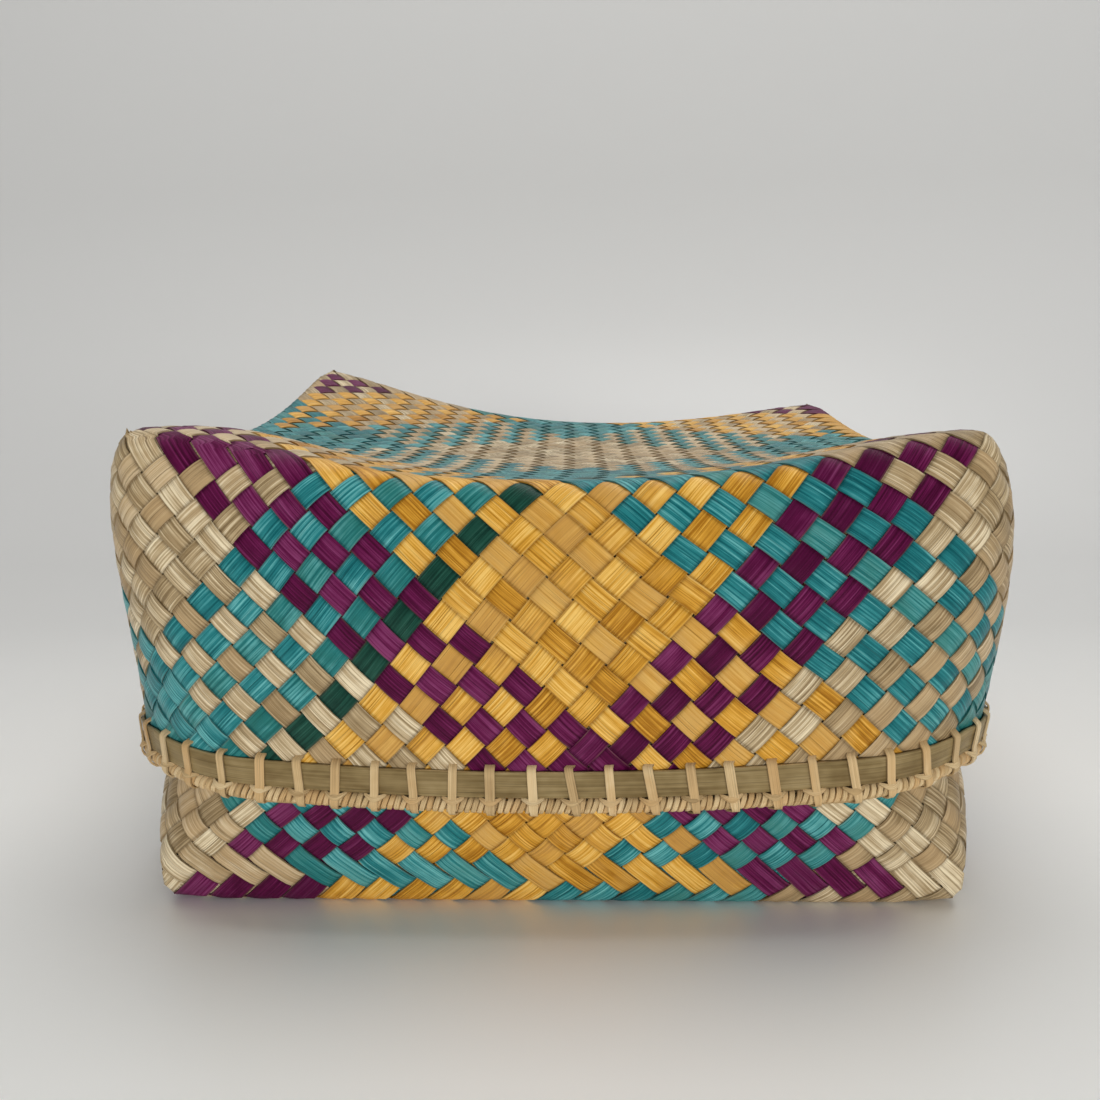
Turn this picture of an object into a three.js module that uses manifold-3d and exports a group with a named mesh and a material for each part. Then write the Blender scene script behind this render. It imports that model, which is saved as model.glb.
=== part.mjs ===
// A plaited bamboo box with a lift-off lid. Millimetres, +Z up, the origin at the middle of the foot.
// Each half is two baskets, one inside the other: a dyed outer weave and a plain lining.
// Its rim is clamped between two bent slats and edged by a cane, and rattan strands bind all of it.

import * as THREE from "three";
import { LoftGeometry } from "three/addons/geometries/LoftGeometry.js";
import { mergeGeometries, mergeVertices } from "three/addons/utils/BufferGeometryUtils.js";
import Module from "manifold-3d";

const wasm = await Module();
wasm.setup();

// Lid: half width at the middle of a side, flare from there to its rim, how far its walls lean to the
// right on the way, and heights of its raised tips
const ridgeHalfWidth = 129.5;
const lidFlare = 11;
const lidLean = 1.6;
const tipRadius = 3.5;
const lidRimCornerRadius = 55;
const tipHeights = { frontLeft: 148.5, frontRight: 147, backRight: 138, backLeft: 158 };
const edgeSags = { front: 13, right: 12, back: 18, left: 13.5 };
const crownLift = 7.5;
const lidRimHeight = 58;
const lidRimSag = 6.5;
const lidBulgePowerShare = 5;
const lidCornerPowerShare = 0.6;

// Base: its square foot, the height where it is widest, and how far its rim stands in from the lid's ridge
const footHalfWidth = 124.5;
const footRadius = 3.5;
const swellHeight = 38;
const baseRimSetIn = 4.3;
const slidingClearance = 1.3;
const footBulgePowerShare = 1.5;
const footCornerPowerShare = 1.6;

// Walls and rims
const weaveThickness = 1.4;
const liningThickness = 1;
const gap = 0.3;
const slatHeight = 8;
const outerSlatThickness = 1.2;
const innerSlatThickness = 1;
const caneRadius = 1.6;
const bindingThickness = 0.6;
const lashingWidth = 2.7;
const lashingThickness = 0.9;
const lashingReach = 1.5;
const lashingsPerSide = 22;
const seatGap = 0.3;

// How far each side of a ring bows out, as an angle at its middle
const sideBowAngle = 0.05;

// Steps round a quarter of a ring, and where its rows lie between ridge and rim, or foot and rim
const cornerSteps = 6;
const sideSteps = 6;
const lidRowShares = [0, 0.06, 0.16, 0.35, 0.65, 1];
const baseRowShares = [0, 0.07, 0.17, 0.32, 0.65, 1];
const topRingShares = [0, 0.3, 0.65];
const stepsPerSide = cornerSteps + sideSteps;
const sides = 4;
const caneSteps = 6;

const bamboo = new THREE.MeshStandardMaterial({ color: 0xbda578, roughness: 0.6 });
const dyedBamboo = new THREE.MeshStandardMaterial({ color: 0x3f8f8c, roughness: 0.55 });
const slatBamboo = new THREE.MeshStandardMaterial({ color: 0x8f7b52, roughness: 0.5 });
const rattan = new THREE.MeshStandardMaterial({ color: 0xd2b482, roughness: 0.6 });

const sleeveInnerRadius = caneRadius + gap;
const sleeveRadius = sleeveInnerRadius + bindingThickness;
const liningOffset = -(weaveThickness + gap);
const innerSlatOffset = liningOffset - liningThickness - gap;
const rimInnerOffset = innerSlatOffset - innerSlatThickness;
const lashingOffset = gap + outerSlatThickness + gap;
const caneOffset = lashingOffset + lashingThickness / 2 - sleeveRadius;

// One ring in plan: four bowed sides joined by round corners, from the middle of one corner on.
// Moving a ring in or out by an offset keeps the centres of all its arcs.
function ringPlan(halfWidth, cornerRadius, offset) {
  const lean = sideBowAngle;
  const chord = Math.cos(lean) - Math.sin(lean);
  const sideRadius = (halfWidth - cornerRadius * chord) / (1 - chord);
  const sideCentre = halfWidth - sideRadius;
  const cornerX = (sideRadius - cornerRadius) * Math.sin(lean);
  const cornerY = -sideCentre - (sideRadius - cornerRadius) * Math.cos(lean);
  const halfCorner = cornerSteps / 2;
  const turn = Math.PI / 4;
  const points = [];
  for (let side = 0; side < sides; side += 1) {
    for (let step = 0; step < stepsPerSide; step += 1) {
      const point = new THREE.Vector2();
      if (step < halfCorner) {
        const angle = -turn + (step / halfCorner) * (turn - lean);
        point.set(-cornerX + (cornerRadius + offset) * Math.sin(angle), 0);
        point.y = cornerY - (cornerRadius + offset) * Math.cos(angle);
      } else if (step <= halfCorner + sideSteps) {
        const angle = lean * ((2 * (step - halfCorner)) / sideSteps - 1);
        point.set((sideRadius + offset) * Math.sin(angle), 0);
        point.y = -sideCentre - (sideRadius + offset) * Math.cos(angle);
      } else {
        const angle = lean + ((step - halfCorner - sideSteps) / halfCorner) * (turn - lean);
        point.set(cornerX + (cornerRadius + offset) * Math.sin(angle), 0);
        point.y = cornerY - (cornerRadius + offset) * Math.cos(angle);
      }
      points.push(point.rotateAround(new THREE.Vector2(), (side * Math.PI) / 2));
    }
  }
  return points;
}

// How far a ring's point is along its side, from -1 at one corner to 1 at the next
function alongSide(index) {
  return (2 * (index % stepsPerSide)) / stepsPerSide - 1;
}

// Height of the lid's top over a place given as shares of the half width
function topHeight(across, back) {
  const left = (1 - across) / 2;
  const right = (1 + across) / 2;
  const front = (1 - back) / 2;
  const rear = (1 + back) / 2;
  const tips = front * (left * tipHeights.frontLeft + right * tipHeights.frontRight)
    + rear * (left * tipHeights.backLeft + right * tipHeights.backRight);
  const acrossDip = 1 - across * across;
  const backDip = 1 - back * back;
  const sag = acrossDip * (front * edgeSags.front + rear * edgeSags.back)
    + backDip * (left * edgeSags.left + right * edgeSags.right);
  return tips - sag + crownLift * acrossDip * backDip;
}

// The lid's rim line: its corners ride higher than the middles of its sides
function lidRimLine(index) {
  const share = alongSide(index);
  return lidRimHeight - lidRimSag * (1 - share * share);
}

function ridgeRing(offset) {
  const plan = ringPlan(ridgeHalfWidth, tipRadius, offset);
  return plan.map((point) => {
    const across = THREE.MathUtils.clamp(point.x / (ridgeHalfWidth + offset), -1, 1);
    const back = THREE.MathUtils.clamp(point.y / (ridgeHalfWidth + offset), -1, 1);
    return new THREE.Vector3(point.x, point.y, topHeight(across, back) + offset);
  });
}

function topRing(offset, ringShare) {
  return ridgeRing(offset).map((edge) => {
    const across = THREE.MathUtils.clamp(edge.x / (ridgeHalfWidth + offset), -1, 1) * ringShare;
    const back = THREE.MathUtils.clamp(edge.y / (ridgeHalfWidth + offset), -1, 1) * ringShare;
    return new THREE.Vector3(edge.x * ringShare, edge.y * ringShare, topHeight(across, back) + offset);
  });
}

const lidRimHalfWidth = ridgeHalfWidth + lidFlare;

// A row of the lid's wall, from its ridge at 0 down to the lower edge of its slats at 1
function lidRow(offset, rowShare) {
  const bulge = 1 - (1 - rowShare) ** lidBulgePowerShare;
  const halfWidth = THREE.MathUtils.lerp(ridgeHalfWidth, lidRimHalfWidth, bulge);
  const rounding = rowShare ** lidCornerPowerShare;
  const radius = THREE.MathUtils.lerp(tipRadius, lidRimCornerRadius, rounding);
  const lean = lidLean * Math.sin(Math.PI * rowShare);
  const ridge = ridgeRing(offset);
  return ringPlan(halfWidth, radius, offset).map((point, index) => {
    const edge = lidRimLine(index) - slatHeight;
    return new THREE.Vector3(point.x + lean, point.y, THREE.MathUtils.lerp(ridge[index].z, edge, rowShare));
  });
}

// The base stands inside the lid, so its widest ring is the lid's inmost rim ring drawn in by the clearance
const swellHalfWidth = lidRimHalfWidth + rimInnerOffset - slidingClearance;
const swellCornerRadius = lidRimCornerRadius + rimInnerOffset - slidingClearance;
const baseRimHalfWidth = ridgeHalfWidth - baseRimSetIn;

// The lid comes down until the underside of its top, at its lowest, rests on the base's bound rim
const rimSpan = (baseRimHalfWidth + caneOffset - sleeveRadius) / ridgeHalfWidth;
const lastTopShare = topRingShares.at(-1);
const undersideEdge = lidRow(liningOffset - liningThickness, 0);
const undersideRing = topRing(liningOffset - liningThickness, lastTopShare);
const seatHeights = undersideEdge.map(
  (point, index) => point.clone().lerp(undersideRing[index], (1 - rimSpan) / (1 - lastTopShare)).z,
);
const baseRimTop = Math.min(...seatHeights) - seatGap;
const baseWeaveTop = baseRimTop - 2 * sleeveRadius - gap;

// A row of the base's wall, from its foot at 0 up to the upper edge of its slats at 1
function baseRow(offset, rowShare) {
  const height = baseWeaveTop * rowShare;
  const rise = Math.min(height / swellHeight, 1);
  const taper = Math.max(height - swellHeight, 0) / (baseWeaveTop - swellHeight);
  const bulge = 1 - (1 - rise) ** footBulgePowerShare;
  const swell = THREE.MathUtils.lerp(footHalfWidth, swellHalfWidth, bulge);
  const halfWidth = THREE.MathUtils.lerp(swell, baseRimHalfWidth, taper);
  const radius = THREE.MathUtils.lerp(footRadius, swellCornerRadius, rise ** footCornerPowerShare);
  const lift = rowShare === 0 ? -offset : 0;
  return ringPlan(halfWidth, radius, offset).map(
    (point) => new THREE.Vector3(point.x, point.y, height + lift),
  );
}

// The middle of the flat floor, as a ring drawn in to one point
function floorMiddle(offset) {
  return baseRow(offset, 0).map((point) => new THREE.Vector3(0, 0, point.z));
}

// Surfaces that share their borders become one closed surface with shared corners.
// A ring drawn in to one point leaves collapsed faces, which are dropped.
function closedGeometry(...surfaces) {
  const plain = surfaces.map((surface) => {
    const geometry = new THREE.BufferGeometry();
    geometry.setAttribute("position", surface.getAttribute("position"));
    geometry.setIndex(surface.getIndex());
    return geometry;
  });
  const merged = mergeVertices(mergeGeometries(plain));
  const corners = [...merged.getIndex().array];
  const kept = [];
  for (let first = 0; first < corners.length; first += 3) {
    const face = corners.slice(first, first + 3);
    if (new Set(face).size === 3) kept.push(...face);
  }
  merged.setIndex(kept);
  return merged;
}

function turnedInsideOut(surface) {
  surface.setIndex([...surface.getIndex().array].reverse());
  return surface;
}

// A basket's two skins and the strip that joins them at the rim.
// Both skins split their faces alike, so that nested baskets keep their gap all over.
function basket(skin, outside, thickness) {
  const outer = skin(outside);
  const inner = skin(outside - thickness);
  return closedGeometry(
    new LoftGeometry(outer),
    turnedInsideOut(new LoftGeometry(inner)),
    new LoftGeometry([outer.at(-1), inner.at(-1)]),
  );
}

// A skin of the lid, from the middle of its crown down to the rim
function lidSkin(offset) {
  const sections = [
    ...topRingShares.map((share) => topRing(offset, share)),
    ...lidRowShares.map((share) => lidRow(offset, share)),
  ];
  sections.forEach((section) => section.reverse());
  return sections;
}

// A skin of the base, from the middle of its floor up to the rim
function baseSkin(offset) {
  return [floorMiddle(offset), ...baseRowShares.map((share) => baseRow(offset, share))];
}

// A ring of the wall at some distance from the edge that the cane runs along; a negative one is past the edge
function wallNearEdge(edgeRow, nextRow, distance) {
  return edgeRow.map((point, index) => {
    const share = distance / Math.abs(nextRow[index].z - point.z);
    return point.clone().lerp(nextRow[index], share);
  });
}

const lidRim = {
  wall: (offset, distance) =>
    wallNearEdge(lidRow(offset, 1), lidRow(offset, lidRowShares.at(-2)), distance),
  caneOnTop: false,
};
const baseRim = {
  wall: (offset, distance) =>
    wallNearEdge(baseRow(offset, 1), baseRow(offset, baseRowShares.at(-2)), distance),
  caneOnTop: true,
};

// A bent bamboo slat: a flat strip closed into a hoop against one face of the basket
function slatHoop(rim, inside, thickness) {
  const corners = [
    rim.wall(inside, 0),
    rim.wall(inside, slatHeight),
    rim.wall(inside + thickness, slatHeight),
    rim.wall(inside + thickness, 0),
  ];
  if (rim.caneOnTop) corners.reverse();
  const sections = corners[0].map((point, index) => corners.map((ring) => ring[index]));
  sections.push(sections[0]);
  return closedGeometry(new LoftGeometry(sections));
}

// Round sections of the cane, or of the binding round it, at every point of the rim
function roundSections(rim, radius) {
  const centres = rim.wall(caneOffset, -(gap + sleeveRadius));
  const outwards = rim.wall(caneOffset + sleeveRadius, -(gap + sleeveRadius));
  const sections = centres.map((centre, index) => {
    const normal = outwards[index].clone().sub(centre).setZ(0).normalize();
    const section = [];
    for (let step = 0; step < caneSteps; step += 1) {
      const angle = (-2 * Math.PI * step) / caneSteps;
      const place = centre.clone().addScaledVector(normal, radius * Math.cos(angle));
      section.push(place.setZ(centre.z + radius * Math.sin(angle)));
    }
    return section;
  });
  sections.push(sections[0]);
  return sections;
}

function caneHoop(rim) {
  return closedGeometry(new LoftGeometry(roundSections(rim, caneRadius)));
}

function solidOf(geometry) {
  const merged = closedGeometry(geometry);
  return new wasm.Manifold(
    new wasm.Mesh({
      numProp: 3,
      vertProperties: merged.attributes.position.array,
      triVerts: new Uint32Array(merged.index.array),
    }),
  );
}

function geometryOf(solid) {
  const mesh = solid.getMesh();
  const geometry = new THREE.BufferGeometry();
  geometry.setAttribute("position", new THREE.BufferAttribute(mesh.vertProperties, 3));
  geometry.setIndex(new THREE.BufferAttribute(mesh.triVerts, 1));
  return geometry;
}

// The wraps of one strand round the cane, as a sleeve along one side from corner to corner
function wrapSleeve(rim, side) {
  const first = side * stepsPerSide;
  const tube = (radius) => {
    const sections = roundSections(rim, radius).slice(first, first + stepsPerSide + 1);
    return sections.map((section, index) => {
      const isEnd = index === 0 || index === stepsPerSide;
      const inwards = sections[index === 0 ? 1 : index - 1];
      return section.map((point, corner) => {
        const trim = inwards[corner].clone().sub(point).setLength(isEnd ? gap : 0);
        return point.clone().add(trim);
      });
    });
  };
  const outer = tube(sleeveRadius);
  const inner = tube(sleeveInnerRadius).reverse();
  return closedGeometry(new LoftGeometry([...outer, ...inner, outer[0]]));
}

// The same place on several rings that share their steps: a step number with its fraction
function between(ring, run) {
  const from = Math.floor(run);
  return ring[from % ring.length].clone().lerp(ring[(from + 1) % ring.length], run - from);
}

// Places spaced evenly along one side of a ring, as step numbers with fractions
function evenRuns(ring, side, count) {
  const first = side * stepsPerSide;
  const travelled = [0];
  for (let step = 0; step < stepsPerSide; step += 1) {
    const length = between(ring, first + step).distanceTo(between(ring, first + step + 1));
    travelled.push(travelled[step] + length);
  }
  const runs = [];
  for (let number = 0; number < count; number += 1) {
    const wanted = (travelled[stepsPerSide] * (number + 1 / 2)) / count;
    const step = travelled.findIndex((length) => length > wanted) - 1;
    const share = (wanted - travelled[step]) / (travelled[step + 1] - travelled[step]);
    runs.push(first + step + share);
  }
  return runs;
}

// One lashing: a flat strip that stands over the outer slat and runs on into the wraps
function lashing(rim, run) {
  const inner = rim.wall(lashingOffset, 0);
  const step = Math.floor(run);
  const along = between(inner, step + 1).sub(between(inner, step)).setZ(0).setLength(lashingWidth / 2);
  const section = (distance) => {
    const back = between(rim.wall(lashingOffset, distance), run);
    const front = between(rim.wall(lashingOffset + lashingThickness, distance), run);
    return [
      back.clone().sub(along),
      back.clone().add(along),
      front.clone().add(along),
      front.clone().sub(along),
    ];
  };
  const sections = [
    section(slatHeight + lashingReach),
    section(-(gap + sleeveRadius + bindingThickness)),
  ];
  if (rim.caneOnTop) sections.forEach((corners) => corners.reverse());
  return new LoftGeometry(sections, { capStart: true, capEnd: true });
}

// Rattan comes in short lengths, so four strands bind a rim, one to a side
function bindingStrand(rim, side) {
  let strand = solidOf(wrapSleeve(rim, side));
  evenRuns(rim.wall(lashingOffset, 0), side, lashingsPerSide).forEach((run) => {
    strand = strand.add(solidOf(lashing(rim, run)));
  });
  return geometryOf(strand);
}

const box = new THREE.Group();

function addPiece(name, geometry, material) {
  const mesh = new THREE.Mesh(geometry, material);
  mesh.name = name;
  box.add(mesh);
}

function addRim(half, rim) {
  addPiece(`${half}_rim_outer_slat`, slatHoop(rim, gap, outerSlatThickness), slatBamboo);
  addPiece(`${half}_rim_inner_slat`, slatHoop(rim, rimInnerOffset, innerSlatThickness), slatBamboo);
  addPiece(`${half}_rim_cane`, caneHoop(rim), rattan);
  ["front", "right", "back", "left"].forEach((place, side) => {
    addPiece(`${half}_rim_binding_${place}`, bindingStrand(rim, side), rattan);
  });
}

addPiece("base_outer_weave", basket(baseSkin, 0, weaveThickness), dyedBamboo);
addPiece("base_lining", basket(baseSkin, liningOffset, liningThickness), bamboo);
addRim("base", baseRim);
addPiece("lid_outer_weave", basket(lidSkin, 0, weaveThickness), dyedBamboo);
addPiece("lid_lining", basket(lidSkin, liningOffset, liningThickness), bamboo);
addRim("lid", lidRim);

export default box;
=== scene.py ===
import math
import random

import bmesh
import bpy
import numpy as np
from mathutils import Matrix, Vector


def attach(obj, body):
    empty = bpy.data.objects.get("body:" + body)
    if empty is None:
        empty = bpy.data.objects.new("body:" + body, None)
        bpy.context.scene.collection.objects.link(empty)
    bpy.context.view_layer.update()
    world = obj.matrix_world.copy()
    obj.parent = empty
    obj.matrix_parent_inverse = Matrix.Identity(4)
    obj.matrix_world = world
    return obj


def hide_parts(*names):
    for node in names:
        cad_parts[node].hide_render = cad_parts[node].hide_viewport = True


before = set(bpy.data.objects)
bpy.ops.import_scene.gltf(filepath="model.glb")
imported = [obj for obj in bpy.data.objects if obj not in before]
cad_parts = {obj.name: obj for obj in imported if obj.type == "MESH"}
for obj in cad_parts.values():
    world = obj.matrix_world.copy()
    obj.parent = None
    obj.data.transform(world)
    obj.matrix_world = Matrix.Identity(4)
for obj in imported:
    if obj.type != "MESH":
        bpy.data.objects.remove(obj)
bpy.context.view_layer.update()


# Base, outer basket
# The lower half of the box: eighty-six split bamboo strips, dyed in bands, plaited on the bias
# over one, under one. It is woven flat, then the four sides are folded up and rounded by hand.

side_bow = 0.05
strips_right = 21
strips_back = 22
strip_count = strips_right ** 2 + strips_back ** 2
foot_half_width = 0.1245
swell_half_width = 0.1352
swell_corner_radius = 0.0497
swell_height = 0.038
base_rim_inset = 0.010
base_height = 0.1200
corner_fold_radius = 0.0005
swell_fullness, corner_rounding, foot_squaring = 1.5, 1.6, 3


def ring_place(turn, half_width, corner_radius):
    """A place on a ring of four bowed sides and round corners, from the front left corner on."""
    turn, half_width, corner_radius = np.broadcast_arrays(turn, half_width, corner_radius)
    side = np.floor(turn)
    chord = math.cos(side_bow) - math.sin(side_bow)
    side_radius = (half_width - corner_radius * chord) / (1 - chord)
    side_centre = half_width - side_radius
    corner_x = (side_radius - corner_radius) * math.sin(side_bow)
    corner_y = -side_centre - (side_radius - corner_radius) * math.cos(side_bow)
    corner_run = corner_radius * (math.pi / 4 - side_bow)
    side_run = 2 * side_bow * side_radius
    run = (turn - side) * (side_run + 2 * corner_run)
    is_left = run < corner_run
    is_right = run > corner_run + side_run
    angle = (run - corner_run) / side_radius - side_bow
    angle = np.where(is_left, run / corner_radius - math.pi / 4, angle)
    angle = np.where(is_right, side_bow + (run - corner_run - side_run) / corner_radius, angle)
    radius = np.where(is_left | is_right, corner_radius, side_radius)
    x = np.where(is_left, -corner_x, np.where(is_right, corner_x, 0)) + radius * np.sin(angle)
    y = np.where(is_left | is_right, corner_y, -side_centre) - radius * np.cos(angle)
    quarter = side * math.pi / 2
    return x * np.cos(quarter) - y * np.sin(quarter), x * np.sin(quarter) + y * np.cos(quarter)


def flat_place(across, back, half_width):
    """A place on the flat of a basket, whose four edges bow out as its rings do."""
    bow = half_width * (1 - math.cos(side_bow)) / (1 - math.cos(side_bow) + math.sin(side_bow))
    return across * (half_width - bow * back ** 2), back * (half_width - bow * across ** 2)


def base_wall(turn, down):
    """The base's walls swell out of a square foot, then draw in to the rim."""
    height = base_height * down
    rise = np.clip(height / swell_height, 0, 1)
    taper = np.clip((height - swell_height) / (base_height - swell_height), 0, None)
    half_width = foot_half_width + (swell_half_width - foot_half_width) * (1 - (1 - rise) ** swell_fullness)
    half_width = half_width - base_rim_inset * taper
    radius = corner_fold_radius + (swell_corner_radius - corner_fold_radius) * rise ** corner_rounding
    x, y = ring_place(turn, half_width, radius)
    squarer = 1 + (half_width / np.maximum(abs(x), abs(y)) - 1) * (1 - rise) ** foot_squaring
    return np.stack([x * squarer, y * squarer, height], -1)


def base_flat(across, back):
    """The foot is a straight square, though the walls bow out above it."""
    return np.stack([across * foot_half_width, back * foot_half_width, np.zeros_like(across)], -1)


def eased(share):
    """Nothing at a corner, and all of it along the middle of a side."""
    return np.sin(math.pi * np.clip(share, 0, 1)) ** 0.5


class Basket:
    """The skin of one half of the box, with places given in strips and in turns round its walls."""

    # How finely the walls are measured, how far in a slack fold is felt, where the wander starts, how
    # soft the tips are, and how far a strip's end may hang past the rim
    turns = 4 * 96
    rows = 240
    samples_down, sample_crowding = 121, 1.6
    slack_reach = 0.3
    wander_start = 0.08
    tip_reach, tip_softness = 0.012, 1.5
    overhang = 0.01

    def __init__(self, wall, flat, half_width, wallwards, fold_radius, slack, wander, pushes=()):
        self.wall, self.flat, self.half_width = wall, flat, half_width
        self.wallwards, self.fold_radius = wallwards, fold_radius
        self.slack, self.wander, self.pushes = np.array(slack), wander, pushes
        turn, down = np.meshgrid(
            np.linspace(0, 4, self.turns + 1),
            np.linspace(0, 1, self.samples_down) ** self.sample_crowding, indexing="ij",
        )
        steps = np.linalg.norm(np.diff(wall(turn, down), axis=1), axis=2)
        length = np.concatenate([np.zeros((self.turns + 1, 1)), np.cumsum(steps, axis=1)], axis=1)
        self.full = length[:, -1]
        shares = np.linspace(0, 1, self.rows + 1)
        self.down = np.stack([
            np.interp(shares * self.full[k], length[k], down[k]) for k in range(self.turns + 1)
        ])

    def full_length(self, turn):
        """The wall's length from the fold to the rim."""
        return np.interp(np.mod(turn, 4), np.linspace(0, 4, self.turns + 1), self.full)

    def wall_at(self, turn, length):
        """A place on the wall, by its distance down from the fold, measured over the surface."""
        turn = np.mod(turn, 4)
        share = length / self.full_length(turn)
        spot, row = turn / 4 * self.turns, np.clip(share, 0, 1) * self.rows
        k = np.clip(np.floor(spot).astype(int), 0, self.turns - 1)
        m = np.clip(np.floor(row).astype(int), 0, self.rows - 1)
        a, b = spot - k, row - m
        upper = self.down[k, m] * (1 - b) + self.down[k, m + 1] * b
        lower = self.down[k + 1, m] * (1 - b) + self.down[k + 1, m + 1] * b
        down = upper * (1 - a) + lower * a
        return self.wall(turn, np.where(share > 1, 1 + (share - 1) * self.overhang, down))

    def nearness(self, push, x, y):
        """How far a hand's push on the weave is felt here."""
        near = np.exp(-((x - push["x"]) / push["wide"]) ** 2 - ((y - push["y"]) / push["deep"]) ** 2)
        return near * eased(x)

    def skin(self, edge, x, y):
        """A place on the folded basket, from a place on the flat, unfolded one whose square is 1 wide."""
        depth = [-y, x - 1, y - 1, -x][edge]
        turn = edge + [x, y, 1 - x, 1 - y][edge]
        side = np.mod(np.floor(turn), 4).astype(int)
        share = turn - np.floor(turn)
        pulls = [
            self.slack[k] * eased(place) * np.exp(-(inner / self.slack_reach) ** 2)
            for k, (place, inner) in enumerate(((x, y), (y, 1 - x), (1 - x, 1 - y), (1 - y, x)))
        ]
        sheet_x, sheet_y = x + pulls[3] - pulls[1], y + pulls[0] - pulls[2]
        was_wall, pull = depth > 0, self.slack[side] * eased(share)
        for push in self.pushes:
            near = self.nearness(push, x, y)
            sheet_x, sheet_y = sheet_x + push["right"] * near, sheet_y + push["back"] * near
            near = self.nearness(push, share, -depth) * (side == 0)
            turn, pull = turn + np.where(was_wall, push["right"] * near, 0), pull + push["back"] * near
        wander = np.clip(depth / self.wander_start, 0, 1) * self.wander
        depth = np.where(was_wall, depth - pull, [-sheet_y, sheet_x - 1, sheet_y - 1, -sheet_x][edge])
        # Two long waves and two short ones, so that no strip runs quite straight down a wall
        short = 0.6 * np.sin(8 * math.pi * turn - 19 * depth)
        turn = turn + wander * (np.sin(14 * turn + 31 * depth) + short)
        short = 0.6 * np.sin(23 * depth - 9 * turn)
        depth = depth + wander * (np.sin(10 * math.pi * turn + 17 * depth) + short)
        along = turn - edge
        is_wall = depth > 0
        wall = self.wall_at(turn, np.where(is_wall, depth, 0) * 2 * self.half_width)
        own = [(along, -depth), (1 + depth, along), (1 - along, 1 + depth), (-depth, 1 - along)][edge]
        flat_x, flat_y = np.where(was_wall, own[0], sheet_x), np.where(was_wall, own[1], sheet_y)
        u, w = np.clip(2 * flat_x - 1, -1, 1), np.clip(2 * flat_y - 1, -1, 1)
        place = np.where(is_wall[..., None], wall, self.flat(u, w))
        inside = self.half_width * (1 - np.maximum(abs(u), abs(w)))
        away = np.where(is_wall, depth * 2 * self.half_width, np.clip(inside, 0, None))
        to_tip = np.minimum(share, 1 - share) * 2 * self.half_width
        fold_radius = self.fold_radius * (1 + self.tip_softness * np.exp(-(to_tip / self.tip_reach) ** 2))
        bend = (np.sqrt(away ** 2 + fold_radius ** 2) - away) / 2
        reach = np.maximum(abs(place[..., 0]), abs(place[..., 1]))[..., None] + 1e-6
        inwards = -place[..., :2] / reach
        return np.concatenate([
            place[..., :2] + inwards * bend[..., None],
            (place[..., 2] + self.wallwards * bend)[..., None],
        ], -1)

    def skin_and_normal(self, edge, x, y):
        """A place on the folded basket, and the way out of its surface there."""
        step = 0.0015
        place = self.skin(edge, x, y)
        along = self.skin(edge, x + step, y) - self.skin(edge, x - step, y)
        across = self.skin(edge, x, y + step) - self.skin(edge, x, y - step)
        normal = np.cross(along, across)
        normal /= np.linalg.norm(normal, axis=-1, keepdims=True) + 1e-12
        return place, normal * -self.wallwards


def new_strips():
    """A mesh whose points know their place along the fibres and across the strip, and if it dives there,
    which masks painted shade.
    """
    mesh = bmesh.new()
    mesh.verts.layers.float_vector.new("fibre")
    mesh.verts.layers.float.new("across")
    mesh.verts.layers.float.new("dive")
    return mesh


def sweep(mesh, places, fibres, lanes, is_loop=False, dives=None):
    """A closed strip through a run of sections: a grid, rolled up and laid along them."""
    fibre = mesh.verts.layers.float_vector["fibre"]
    across, dive = mesh.verts.layers.float["across"], mesh.verts.layers.float["dive"]
    corners, count = len(places[0]), len(places)
    rows = count + 1 if is_loop else count
    grid = bmesh.ops.create_grid(mesh, x_segments=corners, y_segments=rows - 1, size=1)["verts"]
    for index, vert in enumerate(grid):
        step, corner = index // (corners + 1), index % (corners + 1) % corners
        vert.co = places[step % count][corner]
        vert[fibre] = fibres[step % count][corner]
        vert[across] = lanes[corner]
        vert[dive] = 0 if dives is None else dives[step % count]
    if not is_loop:
        mesh.faces.new(grid[:corners])
        mesh.faces.new(grid[-corners - 1:-1])


fine_step = 1 / 48
first_crossing, last_crossing, longest_tail = -60, 110, 30
rim_overrun = 0.0002
middle_play = 0.02
narrowest, widest = 0.95, 1.02
grain_shift = 40
plateau = 0.45
decimetres = 10


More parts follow.
